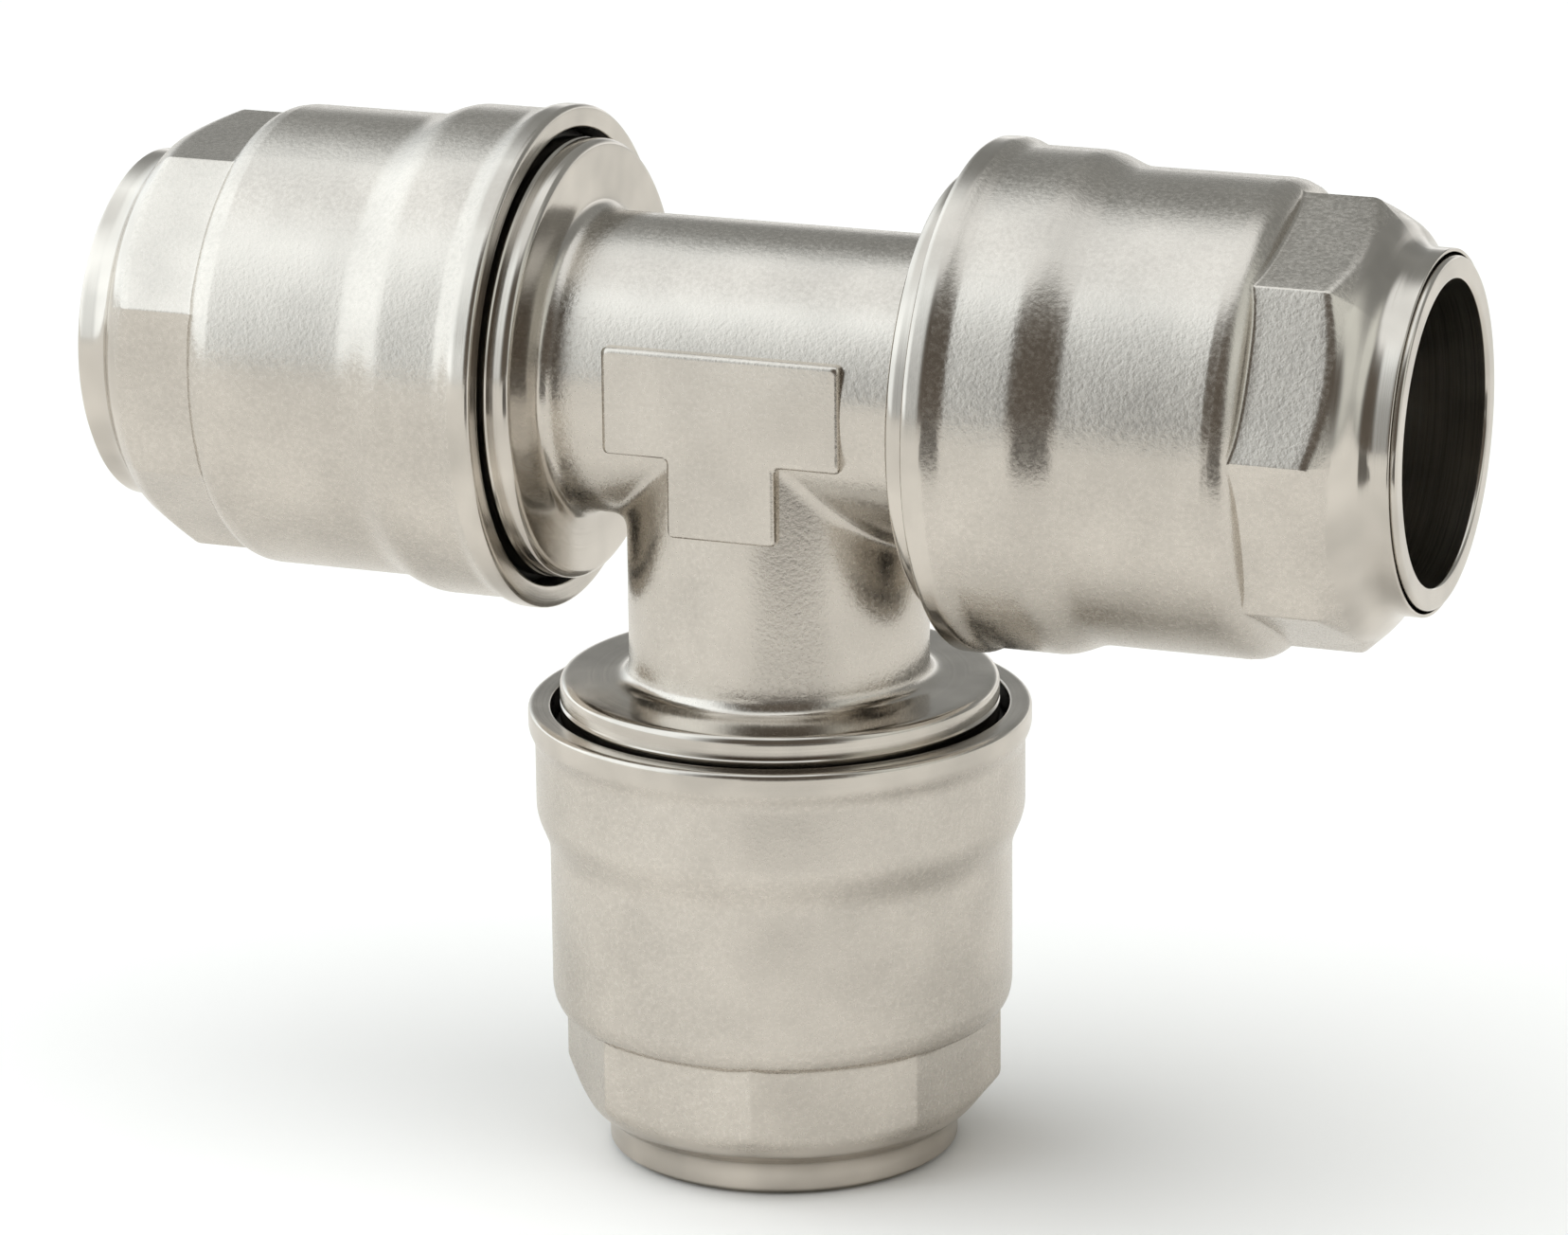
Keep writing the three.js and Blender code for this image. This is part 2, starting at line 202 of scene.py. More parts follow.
class Port:
    """One port: its side, its directions, and where one nut corner stands, in degrees."""

    def __init__(self, side, outwards, around, extra, corner):
        self.side = side
        self.outwards = Vector(outwards)
        self.front = Vector((0, -1, 0))
        self.around = Vector(around)
        self.extra = extra
        self.corner = math.radians(corner)
        self.centre = Vector((0, 0, AXIS_HEIGHT)) + self.outwards * extra

    def point(self, distance, radius, angle):
        radial = self.front * math.cos(angle) + self.around * math.sin(angle)
        return self.centre + self.outwards * distance + radial * radius


LEFT = Port("left", (-1, 0, 0), (0, 0, 1), 0, 17.8)
RIGHT = Port("right", (1, 0, 0), (0, 0, 1), 0, 3.5)
BRANCH = Port("branch", (0, 0, -1), (1, 0, 0), BRANCH_EXTRA, 13)
PORTS = (LEFT, RIGHT, BRANCH)


# ------------------------------------------------------------------ outlines

def bend(before, corner, after, radius):
    """A corner rounded over a length of about radius, as a short curve of ARC_STEPS + 1 points."""
    if radius <= 0:
        return [corner]
    corner = Vector(corner)
    to_before = Vector(before) - corner
    to_after = Vector(after) - corner
    reach = min(radius, 0.45 * to_before.length, 0.45 * to_after.length)
    start = corner + to_before.normalized() * reach
    end = corner + to_after.normalized() * reach
    points = []
    for step in range(ARC_STEPS + 1):
        t = step / ARC_STEPS
        p = start * (1 - t) ** 2 + corner * 2 * t * (1 - t) + end * t * t
        points.append(tuple(p))
    return points


def support_points(p, q, share=0.12):
    """Points near both ends of a straight stretch and in its middle, to keep its shading flat."""
    return [
        (p[0] + (q[0] - p[0]) * t, p[1] + (q[1] - p[1]) * t) for t in (share, 0.5, 1 - share)
    ]


def closed_outline(corners):
    """A closed outline from (distance, radius, rounding) corners, with its roundings drawn.

    A stretch between two corners with no rounding is one short step of a curve or a thread, and
    gets no supporting points.
    """
    count = len(corners)
    pieces = []
    for i, (distance, radius, rounding) in enumerate(corners):
        before = corners[i - 1][:2]
        after = corners[(i + 1) % count][:2]
        pieces.append(bend(before, (distance, radius), after, rounding))
    points = []
    for i, piece in enumerate(pieces):
        points.extend(piece)
        k = (i + 1) % count
        if corners[i][2] or corners[k][2]:
            points.extend(support_points(piece[-1], pieces[k][0]))
    return points


def open_outline(corners):
    """As closed_outline, but the outline ends at its first and last corners."""
    points = [corners[0][:2]]
    for i in range(1, len(corners) - 1):
        distance, radius, rounding = corners[i]
        piece = bend(corners[i - 1][:2], (distance, radius), corners[i + 1][:2], rounding)
        if rounding or corners[i - 1][2]:
            points.extend(support_points(points[-1], piece[0]))
        points.extend(piece)
    points.extend(support_points(points[-1], corners[-1][:2]))
    points.append(corners[-1][:2])
    return points


def thread(start, end, radius, depth, angle, outside):
    """A thread's side at one angle. Its crests are at radius, and it fades out at both ends."""
    rows = round((end - start) / THREAD_PITCH * THREAD_ROWS_PER_TURN)
    points = []
    for row in range(rows + 1):
        distance = start + (end - start) * row / rows
        turns = distance / THREAD_PITCH - angle / (2 * math.pi)
        valley = 1 - abs(2 * (turns % 1) - 1)
        fade = min(1, row / THREAD_ROWS_PER_TURN, (rows - row) / THREAD_ROWS_PER_TURN)
        cut = depth * valley * fade
        points.append((distance, radius - cut if outside else radius + cut, 0))
    return points


# ------------------------------------------------------------------ meshes

def even_angles(count=ROUND_STEPS):
    return [2 * math.pi * i / count for i in range(count)]


def new_object(name, mesh):
    obj = bpy.data.objects.new(name, mesh)
    bpy.context.scene.collection.objects.link(obj)
    return obj


def smooth(mesh, sharp_degrees=32):
    mesh.polygons.foreach_set("use_smooth", [True] * len(mesh.polygons))
    mesh.set_sharp_from_angle(angle=math.radians(sharp_degrees))


def face_outwards(mesh):
    work = bmesh.new()
    work.from_mesh(mesh)
    bmesh.ops.recalc_face_normals(work, faces=work.faces)
    work.to_mesh(mesh)
    work.free()


def swept_faces(columns, rows, closed, first_vertex=0):
    """Faces between neighbouring outlines around an axis, of which each has that many rows."""
    faces = []
    for i in range(columns):
        here = first_vertex + i * rows
        there = first_vertex + (i + 1) % columns * rows
        for j in range(rows if closed else rows - 1):
            k = (j + 1) % rows
            faces.append((here + j, here + k, there + k, there + j))
    return faces


def note_turning(mesh, values):
    """Stores (distance, radius, how smooth it is machined) on each vertex, for the materials."""
    attribute = mesh.attributes.new("turned", "FLOAT_VECTOR", "POINT")
    attribute.data.foreach_set("vector", np.asarray(values, np.float32).ravel())


def ring_piece(name, port, outline_at, angles, machined):
    """A closed ring. outline_at(angle) is its closed outline, with as many points each time."""
    vertices = []
    notes = []
    for angle in angles:
        for distance, radius in outline_at(angle):
            vertices.append(port.point(distance, radius, angle))
            notes.append((distance, radius, machined(distance, radius)))
    rows = len(vertices) // len(angles)
    mesh = bpy.data.meshes.new(name)
    mesh.from_pydata(vertices, [], swept_faces(len(angles), rows, closed=True))
    note_turning(mesh, notes)
    face_outwards(mesh)
    smooth(mesh)
    return new_object(name, mesh)


def fully_machined(distance, radius):
    return 1.0


# ------------------------------------------------------------------ tee body

def arm_start(port, radius, angle):
    """Where an arm's wall starts: at the mitre with its neighbour, or at the middle."""
    if port is BRANCH:
        return radius * abs(math.sin(angle)) - port.extra
    return max(0.0, -radius * math.sin(angle))


def arm_outline(port, angle):
    """One arm's wall at one angle, from the crossing, round its outer end, and back inside."""
    start = arm_start(port, BARREL_RADIUS, angle)
    inner_start = arm_start(port, WATERWAY_RADIUS, angle)
    barrel = []
    for row in range(BARREL_ROWS):
        share = (row / (BARREL_ROWS - 1)) ** BARREL_ROW_SPREAD
        barrel.append((start + (BARREL_ROWS_END - start) * share, BARREL_RADIUS, 0))
    outer = [
        (FLANGE_START, BARREL_RADIUS, BARREL_FILLET),
        (FLANGE_START, FLANGE_RADIUS, FLANGE_EDGE),
        (FLANGE_LINE - FLANGE_LINE_SIZE, FLANGE_RADIUS, 0),
        (FLANGE_LINE, FLANGE_RADIUS - FLANGE_LINE_SIZE, 0),
        (FLANGE_LINE + FLANGE_LINE_SIZE, FLANGE_RADIUS, 0),
        (FLANGE_END, FLANGE_RADIUS, SMALL_EDGE),
        (FLANGE_END, DUST_GROOVE_RADIUS, SOFT_EDGE),
        (DUST_GROOVE_END, DUST_GROOVE_RADIUS, SOFT_EDGE),
        (DUST_GROOVE_END, THREAD_RADIUS, SMALL_EDGE),
    ]
    ridges = thread(
        THREAD_START,
        SOCKET_END - THREAD_RUNOUT,
        THREAD_RADIUS,
        THREAD_DEPTH,
        angle,
        outside=True,
    )
    inner = [
        (SOCKET_END - SOCKET_CHAMFER, THREAD_RADIUS, 0),
        (SOCKET_END, THREAD_RADIUS - SOCKET_CHAMFER, 0),
        (SOCKET_END, GLAND_RADIUS, SMALL_EDGE),
        (GLAND_START, GLAND_RADIUS, SOFT_EDGE),
        (GLAND_START, SOCKET_RADIUS, SOFT_EDGE),
        (TUBE_STOP, SOCKET_RADIUS, SOFT_EDGE),
        (TUBE_STOP, WATERWAY_RADIUS, SMALL_EDGE),
        (inner_start, WATERWAY_RADIUS, 0),
    ]
    return open_outline([*barrel, *outer, *ridges, *inner])


def blend_crease(points):
    """Fills the crease between the equal barrels with a small fillet that fades at the sides."""
    local = points - np.array((0, 0, AXIS_HEIGHT))
    least_slope = 0.2
    for _ in range(CREASE_PASSES):
        x, y, z = local.T
        run_reach = np.hypot(y, z)
        branch_reach = np.hypot(x, y)
        zero = np.zeros_like(x)
        run_normal = np.stack([zero, y, z], 1) / run_reach[:, None]
        branch_normal = np.stack([x, y, zero], 1) / np.maximum(branch_reach, TINY)[:, None]
        run_gap = run_reach - BARREL_RADIUS
        branch_gap = branch_reach - BARREL_RADIUS
        facing = np.sum(run_normal * branch_normal, 1)
        width = CREASE_BLEND * (1 - facing) * np.clip(-z / MM, 0, 1) + TINY
        overlap = np.maximum(width - np.abs(run_gap - branch_gap), 0) / width
        gap = np.minimum(run_gap, branch_gap) - overlap**2 * width / 4
        share = np.clip(0.5 + 0.5 * (branch_gap - run_gap) / width, 0, 1)[:, None]
        normal = share * run_normal + (1 - share) * branch_normal
        step = gap / np.maximum(np.sum(normal * normal, 1), least_slope)
        local = local - normal * step[:, None]
    return local + np.array((0, 0, AXIS_HEIGHT))


def arm_mesh_data(port, first_vertex):
    vertices = []
    angles = even_angles()
    for angle in angles:
        for distance, radius in arm_outline(port, angle):
            vertices.append(port.point(distance, radius, angle))
    rows = len(vertices) // len(angles)
    return vertices, swept_faces(len(angles), rows, False, first_vertex)


def body_notes(mesh):
    """Flanges, threads and bores are machined smooth; the forged barrels are not."""
    machined_start = FLANGE_START - 0.5 * MM
    fade_length = 0.4 * MM
    bore_limit = WATERWAY_RADIUS + 0.5 * MM
    bore_smoothness = 0.6
    points = np.array([v.co for v in mesh.vertices]) - np.array((0, 0, AXIS_HEIGHT))
    notes = np.zeros((len(points), 3))
    depth = -points[:, 2] - BRANCH_EXTRA
    across = np.abs(points[:, 0])
    on_branch = depth > across
    along = np.where(on_branch, depth, across)
    run_radius = np.hypot(points[:, 1], points[:, 2])
    branch_radius = np.hypot(points[:, 0], points[:, 1])
    radius = np.where(on_branch, branch_radius, run_radius)
    notes[:, 0] = along
    notes[:, 1] = radius
    notes[:, 2] = np.clip((along - machined_start) / fade_length, 0, 1)
    bore = (run_radius < bore_limit) | ((branch_radius < bore_limit) & (points[:, 2] < 0))
    notes[bore, 2] = bore_smoothness
    note_turning(mesh, notes)


def pad_outline(inset):
    """The T-shaped pad's outline in X and height, drawn in by inset."""
    bar = PAD_BAR_HALF_WIDTH - inset
    stem = PAD_STEM_HALF_WIDTH - inset
    top = PAD_BAR_TOP - inset
    under = PAD_BAR_BOTTOM + inset
    bottom = PAD_STEM_BOTTOM + inset
    corners = [
        (-bar, top),
        (-bar, under),
        (-stem, under),
        (-stem, bottom),
        (stem, bottom),
        (stem, under),
        (bar, under),
        (bar, top),
    ]
    points = []
    for i, corner in enumerate(corners):
        after = corners[(i + 1) % len(corners)]
        points.extend(bend(corners[i - 1], corner, after, PAD_CORNER))
    return points


def pad_object():
    """The pad as a closed solid, from inside the barrels to its face, with a rounded edge."""
    levels = [(PAD_ROOT, 0.0), (PAD_FACE - PAD_EDGE, 0.0)]
    for step in range(1, PAD_EDGE_STEPS + 1):
        turn = math.pi / 2 * step / PAD_EDGE_STEPS
        depth = PAD_FACE - PAD_EDGE * (1 - math.sin(turn))
        levels.append((depth, PAD_EDGE * (1 - math.cos(turn))))
    vertices = []
    for depth, inset in levels:
        vertices.extend((x, -depth, AXIS_HEIGHT + z) for x, z in pad_outline(inset))
    count = len(pad_outline(0))
    faces = [tuple(range(count)), tuple(range(count * (len(levels) - 1), count * len(levels)))]
    for level in range(len(levels) - 1):
        for i in range(count):
            k = (i + 1) % count
            low = level * count
            faces.append((low + i, low + k, low + count + k, low + count + i))
    mesh = bpy.data.meshes.new("pad")
    mesh.from_pydata(vertices, [], faces)
    face_outwards(mesh)
    return new_object("pad", mesh)


def join_solid(obj, other):
    """Adds another closed solid to obj, and removes the other object."""
    modifier = obj.modifiers.new("join", "BOOLEAN")
    modifier.operation = "UNION"
    modifier.solver = "EXACT"
    modifier.object = other
    graph = bpy.context.evaluated_depsgraph_get()
    mesh = bpy.data.meshes.new_from_object(obj.evaluated_get(graph))
    obj.modifiers.clear()
    obj.data = mesh
    bpy.data.objects.remove(other)


def tee_body():
    """The three arms welded into one skin, with the fillet between them, and the pad."""
    vertices = []
    faces = []
    for port in PORTS:
        more_vertices, more_faces = arm_mesh_data(port, len(vertices))
        vertices.extend(more_vertices)
        faces.extend(more_faces)
    points = np.array([tuple(v) for v in vertices])
    local_height = points[:, 2] - AXIS_HEIGHT
    reach = np.minimum(
        np.hypot(points[:, 1], local_height), np.hypot(points[:, 0], points[:, 1])
    )
    on_barrel = np.abs(reach - BARREL_RADIUS) < SAME_PLACE
    along = np.maximum(np.abs(points[:, 0]), -local_height - BRANCH_EXTRA)
    moved = on_barrel & (along < FLANGE_START - MM)
    points[moved] = blend_crease(points[moved])
    mesh = bpy.data.meshes.new("tee_body_forging")
    mesh.from_pydata(points.tolist(), [], faces)
    work = bmesh.new()
    work.from_mesh(mesh)
    bmesh.ops.remove_doubles(work, verts=work.verts, dist=SAME_PLACE)
    bmesh.ops.recalc_face_normals(work, faces=work.faces)
    work.to_mesh(mesh)
    work.free()
    obj = new_object("tee_body_forging", mesh)
    join_solid(obj, pad_object())
    body_notes(obj.data)
    smooth(obj.data)
    return obj


# ------------------------------------------------------------------ nuts

def corner_centre():
    """Distance from the axis of the centres that the nut's corners are rounded about."""
    return (INRADIUS - CORNER_ROUNDING) / math.cos(FLAT_ANGLE / 2)


def corner_reach():
    """The angle at the axis between a nut's corner and the end of that corner's rounding."""
    return math.atan2(
        CORNER_ROUNDING * math.sin(FLAT_ANGLE / 2),
        corner_centre() + CORNER_ROUNDING * math.cos(FLAT_ANGLE / 2),
    )


def flats_angles(port):
    """Angles around a nut, closer together where its corners are rounded."""
    reach = corner_reach()
    angles = []
    for flat in range(FLATS):
        corner = port.corner + flat * FLAT_ANGLE
        for step in range(CORNER_STEPS):
            angles.append(corner - reach + 2 * reach * step / CORNER_STEPS)
        for step in range(FLAT_STEPS):
            angles.append(corner + reach + (FLAT_ANGLE - 2 * reach) * step / FLAT_STEPS)
    return angles


def flats_radius(port, angle):
    """Distance from the axis to the wrench flats at an angle."""
    half = FLAT_ANGLE / 2
    from_corner = abs((angle - port.corner + half) % FLAT_ANGLE - half)
    if from_corner >= corner_reach():
        return INRADIUS / math.cos(half - from_corner)
    centre = corner_centre()
    offset = centre * math.sin(from_corner)
    return centre * math.cos(from_corner) + math.sqrt(CORNER_ROUNDING**2 - offset**2)


def curve_point(start, middle, end, t):
    """A point on a curve that passes through start, middle and end, as (distance, radius)."""
    control = [2 * m - (s + e) / 2 for s, m, e in zip(start, middle, end)]
    return tuple(
        s * (1 - t) ** 2 + c * 2 * t * (1 - t) + e * t * t for s, c, e in zip(start, control, end)
    )


def share_at_radius(curve, radius):
    """How far along a curve of falling radius it reaches that radius, by halving."""
    halvings = 30
    low, high = 0.0, 1.0
    for _ in range(halvings):
        middle = (low + high) / 2
        if curve_point(*curve, middle)[1] > radius:
            low = middle
        else:
            high = middle
    return low


def shoulder_curve():
    drop = SLEEVE_RADIUS - INRADIUS
    length = SHOULDER_END - SLEEVE_END
    middle = (SLEEVE_END + length * SHOULDER_FULLNESS, INRADIUS + drop * SHOULDER_FULLNESS)
    return (SLEEVE_END, SLEEVE_RADIUS), middle, (SHOULDER_END, INRADIUS)


def shoulder_corners(flat):
    """The shoulder from the end of the sleeve down to the flats, at that radius."""
    curve = shoulder_curve()
    whole_share = share_at_radius(curve, flat)
    roundings = [0] * (SHOULDER_ROWS + 1)
    roundings[0] = SHOULDER_START_EDGE
    roundings[-1] = SHOULDER_END_EDGE
    corners = []
    for row, rounding in enumerate(roundings):
        share = whole_share * row / SHOULDER_ROWS
        corners.append((*curve_point(*curve, share), rounding))
    return corners


def nose_corners(flat):
    """The nose from the end of the flats, at that radius, to the end of the neck."""
    corner_radius = INRADIUS / math.cos(FLAT_ANGLE / 2)
    flats_end = NOSE_START + NOSE_SLANT * (corner_radius - flat)
    return [
        (flats_end, flat, NOSE_START_EDGE),
        (*NOSE_MIDDLE, NOSE_MIDDLE_EDGE),
        (NOSE_END, NECK_OUTER_RADIUS, NOSE_END_EDGE),
        (NUT_END, NECK_OUTER_RADIUS, NECK_OUTER_EDGE),
    ]


def nut_outline(port, angle):
    """A nut at one angle: mouth, lip, collar, sleeve, flats and nose, and back inside."""
    flat = flats_radius(port, angle)
    mouth_end = NUT_START + MOUTH_DEPTH
    mouth = [
        (mouth_end, MOUTH_RADIUS, FINE_EDGE),
        (NUT_START, MOUTH_RADIUS, MOUTH_EDGE),
        (NUT_START, LIP_RADIUS, LIP_EDGE),
        (NUT_START + LIP_WIDTH, LIP_RADIUS, LIP_FOOT),
        (COLLAR_START, COLLAR_RADIUS, COLLAR_FOOT),
        (COLLAR_END, COLLAR_RADIUS, TAPER_EDGE),
        (SLEEVE_START, SLEEVE_RADIUS, TAPER_EDGE),
    ]
    outside = [*mouth, *shoulder_corners(flat), *nose_corners(flat)]
    hollow = [
        (NUT_END, NECK_RADIUS, NECK_INNER_EDGE),
        (NECK_START, NECK_RADIUS, FINE_EDGE),
        (NECK_START, POCKET_RADIUS, SMALL_EDGE),
        (POCKET_START, POCKET_RADIUS, FINE_EDGE),
        (POCKET_START, NUT_THREAD_RADIUS, SMALL_EDGE),
    ]
    ridges = thread(
        mouth_end + NUT_THREAD_LEAD,
        POCKET_START - NUT_THREAD_RUNOUT,
        NUT_THREAD_RADIUS,
        NUT_THREAD_DEPTH,
        angle,
        outside=False,
    )
    mouth_step = (mouth_end, NUT_THREAD_RADIUS, FINE_EDGE)
    return closed_outline([*outside, *hollow, *reversed(ridges), mouth_step])


def nut_machined(distance, radius):
    """Lip, nose, neck, bore and thread are cut smooth; the rest has a fine grain."""
    lip_smoothness = 0.8
    in_bore = radius < INRADIUS - 0.1 * MM
    on_nose = distance > NOSE_START + 2 * MM
    on_lip = distance < NUT_START + LIP_WIDTH
    in_thread = radius < SLEEVE_RADIUS - 0.5 * MM and distance < NECK_START - 6 * MM
    if in_bore or on_nose:
        return 1.0
    if on_lip:
        return lip_smoothness
    return 1.0 if in_thread else 0.0


def nut(port):
    return ring_piece(
        f"nut_shell_{port.side}",
        port,
        lambda angle: nut_outline(port, angle),
        flats_angles(port),
        nut_machined,
    )


# ------------------------------------------------------------------ collets and inner rings

def plain_ring(name, port, outline, steps):
    """A smooth ring with the same outline all around."""
    return ring_piece(name, port, lambda angle: outline, even_angles(steps), fully_machined)


def collet(port):
    outline = closed_outline([
        (COLLET_LOW.x, COLLET_NOSE_RADIUS, COLLET_TIP_EDGE),
        (COLLET_FLANGE_START, COLLET_NOSE_RADIUS, SMALL_EDGE),
        (COLLET_FLANGE_START, COLLET_FLANGE_RADIUS, SMALL_EDGE),
        (COLLET_FLANGE_END, COLLET_FLANGE_RADIUS, SMALL_EDGE),
        (COLLET_FLANGE_END, COLLET_RADIUS, FINE_EDGE),
        (PORT_REACH, COLLET_RADIUS, COLLET_END_EDGE),
        (PORT_REACH, COLLET_BORE, COLLET_END_EDGE),
        (COLLET_LOW.x, COLLET_BORE, SMALL_EDGE),
    ])
    return plain_ring(f"collet_sleeve_{port.side}", port, outline, ROUND_STEPS)


def wedge_ring(port):
    start, end = WEDGE_LOW.x, WEDGE_HIGH.x
    outline = closed_outline([
        (start, RING_RADIUS, WEDGE_TIP_EDGE),
        (WEDGE_FLANGE_START, RING_RADIUS, FINE_EDGE),
        (WEDGE_FLANGE_START, WEDGE_FLANGE_RADIUS, SOFT_EDGE),
        (WEDGE_FLANGE_END, WEDGE_FLANGE_RADIUS, SOFT_EDGE),
        (WEDGE_FLANGE_END, WEDGE_SLEEVE_RADIUS, FINE_EDGE),
        (end, WEDGE_SLEEVE_RADIUS, SMALL_EDGE),
        (end, WEDGE_BORE, SOFT_EDGE),
        (start + WEDGE_CONE, WEDGE_BORE, FINE_EDGE),
    ])
    return plain_ring(f"wedge_cone_{port.side}", port, outline, INNER_RING_STEPS)


def washer(port):
    start, end = WASHER_LOW.x, WASHER_HIGH.x
    outline = closed_outline([
        (start, RING_RADIUS, SOFT_EDGE),
        (end, RING_RADIUS, SOFT_EDGE),
        (end, WASHER_BORE, SOFT_EDGE),
        (start, WASHER_BORE, SOFT_EDGE),
    ])
    return plain_ring(f"backup_ring_{port.side}", port, outline, INNER_RING_STEPS)


def seal_ring(name, port, low, high):
    """An O-ring in the space of its CAD node."""
    section_radius = (high.x - low.x) / 2
    middle = (low.x + high.x) / 2
    ring_radius = high.z - AXIS_HEIGHT - section_radius
    outline = []
    for turn in even_angles(SEAL_SECTION_STEPS):
        distance = middle + section_radius * math.cos(turn)
        outline.append((distance, ring_radius + section_radius * math.sin(turn)))
    return plain_ring(f"{name}_{port.side}", port, outline, SEAL_STEPS)


def grip_angles():
    """Angles around the grip ring, doubled at both sides of each slot."""
    angles = []
    for tooth in range(GRIP_TEETH):
        first = tooth * GRIP_PITCH + GRIP_SLOT_ANGLE / 2
        last = (tooth + 1) * GRIP_PITCH - GRIP_SLOT_ANGLE / 2
        full_width = last - first - 2 * GRIP_SLOT_WALL
        angles.append(first)
        for step in range(TOOTH_STEPS + 1):
            angles.append(first + GRIP_SLOT_WALL + full_width * step / TOOTH_STEPS)
        angles.append(last)
    return angles


def grip_outline(angle):
    """The grip ring at one angle: a tooth slanting inwards, or the short stub in a slot."""
    in_tooth = angle % GRIP_PITCH - GRIP_SLOT_ANGLE / 2
    tooth_width = GRIP_PITCH - GRIP_SLOT_ANGLE
    half_wall = GRIP_SLOT_WALL / 2
    is_tooth = half_wall < in_tooth < tooth_width - half_wall
    reach = 1.0 if is_tooth else GRIP_SLOT_REACH
    rim_start = GRIP_HIGH.x - GRIP_THICKNESS
    tip_radius = GRIP_RIM_BORE + (GRIP_TIP_RADIUS - GRIP_RIM_BORE) * reach
    tip_start = rim_start + (GRIP_LOW.x - rim_start) * reach
    tip_end = GRIP_HIGH.x + (GRIP_LOW.x + GRIP_THICKNESS - GRIP_HIGH.x) * reach
    return closed_outline([
        (tip_start, tip_radius, 0),
        (rim_start, GRIP_RIM_BORE, 0),
        (rim_start, RING_RADIUS, FINE_EDGE),
        (GRIP_HIGH.x, RING_RADIUS, FINE_EDGE),
        (GRIP_HIGH.x, GRIP_RIM_BORE, 0),
        (tip_end, tip_radius, 0),
    ])


def grip_ring(port):
    return ring_piece(
        f"grip_teeth_{port.side}", port, grip_outline, grip_angles(), fully_machined
    )


# ------------------------------------------------------------------ materials

NOISE_SPAN = (0.3, 0.7)  # the values that noise mostly has
GRAIN_SIZE = 0.3 * MM
FINE_GRAIN_SIZE = 0.12 * MM
FINE_GRAIN_SHARE = 0.35  # depth of the fine grain, for each unit of the grain's depth
TOOL_MARK_SPACING = 0.09 * MM
TOOL_MARK_DEPTH = 0.0012 * MM
PLATE_CLOUD_SIZE = 6 * MM
METAL_CLOUD_SIZE = 3 * MM
SOFT_CLOUD_SIZE = 4 * MM


class Nodes:
    """A small helper that adds and links the nodes of one material or world."""

    def __init__(self, owner):
        self.owner = owner
        self.owner.use_nodes = True
        self.tree = self.owner.node_tree

    def add(self, kind, **settings):
        node = self.tree.nodes.new(kind)
        for key, value in settings.items():
            if key in node.inputs:
                node.inputs[key].default_value = value
            else:
                setattr(node, key, value)
        return node

    def link(self, source, target):
        self.tree.links.new(source, target)

    def noise(self, feature_size, detail=2.0, vector=None):
        """Noise with bumps of about that size, over the object's own space."""
        node = self.add("ShaderNodeTexNoise", Scale=1 / feature_size, Detail=detail)
        if vector is None:
            vector = self.add("ShaderNodeTexCoord").outputs["Object"]
        self.link(vector, node.inputs["Vector"])
        return node.outputs["Fac"]

    def remap(self, value, low, high, from_low=0.0, from_high=1.0):
        """The value, moved from one range to another."""
        node = self.add("ShaderNodeMapRange")
        node.inputs["From Min"].default_value = from_low
        node.inputs["From Max"].default_value = from_high
        node.inputs["To Min"].default_value = low
        node.inputs["To Max"].default_value = high
        self.link(value, node.inputs["Value"])
        return node.outputs["Result"]

    def blend(self, factor, a, b, kind="FLOAT"):
        """A mix of a and b. Each kind has its own sockets for the factor, a, b and the result."""
        node = self.add("ShaderNodeMix", data_type=kind)
        *inputs, result = {"FLOAT": (0, 2, 3, 0), "RGBA": (0, 6, 7, 2)}[kind]
        for socket, value in zip(inputs, (factor, a, b)):
            if isinstance(value, bpy.types.NodeSocket):
                self.link(value, node.inputs[socket])
            else:
                node.inputs[socket].default_value = value
        return node.outputs[result]

    def turned(self):
        """The (distance, radius, machined) note of the mesh, as separate values."""
        attribute = self.add("ShaderNodeAttribute", attribute_name="turned")
        split = self.add("ShaderNodeSeparateXYZ")
        self.link(attribute.outputs["Vector"], split.inputs[0])
        return split.outputs

    def tool_marks(self, spacing):
        """Fine lines around the axis, as a lathe tool leaves, from the distance and the radius."""
        distance, radius, _ = self.turned()
        lines = self.add("ShaderNodeCombineXYZ")
        self.link(distance, lines.inputs["X"])
        self.link(radius, lines.inputs["Y"])
        return self.noise(spacing, 1.0, lines.outputs[0])

    def bump(self, height, depth, strength=1.0):
        node = self.add("ShaderNodeBump", Distance=depth, Strength=strength)
        self.link(height, node.inputs["Height"])
        return node


def tinted(colour, factor, lift=0.0):
    """A lighter or darker tint of a colour, with the alpha that colour sockets need."""
    return (*[min(1.0, c * factor + lift) for c in colour], 1)


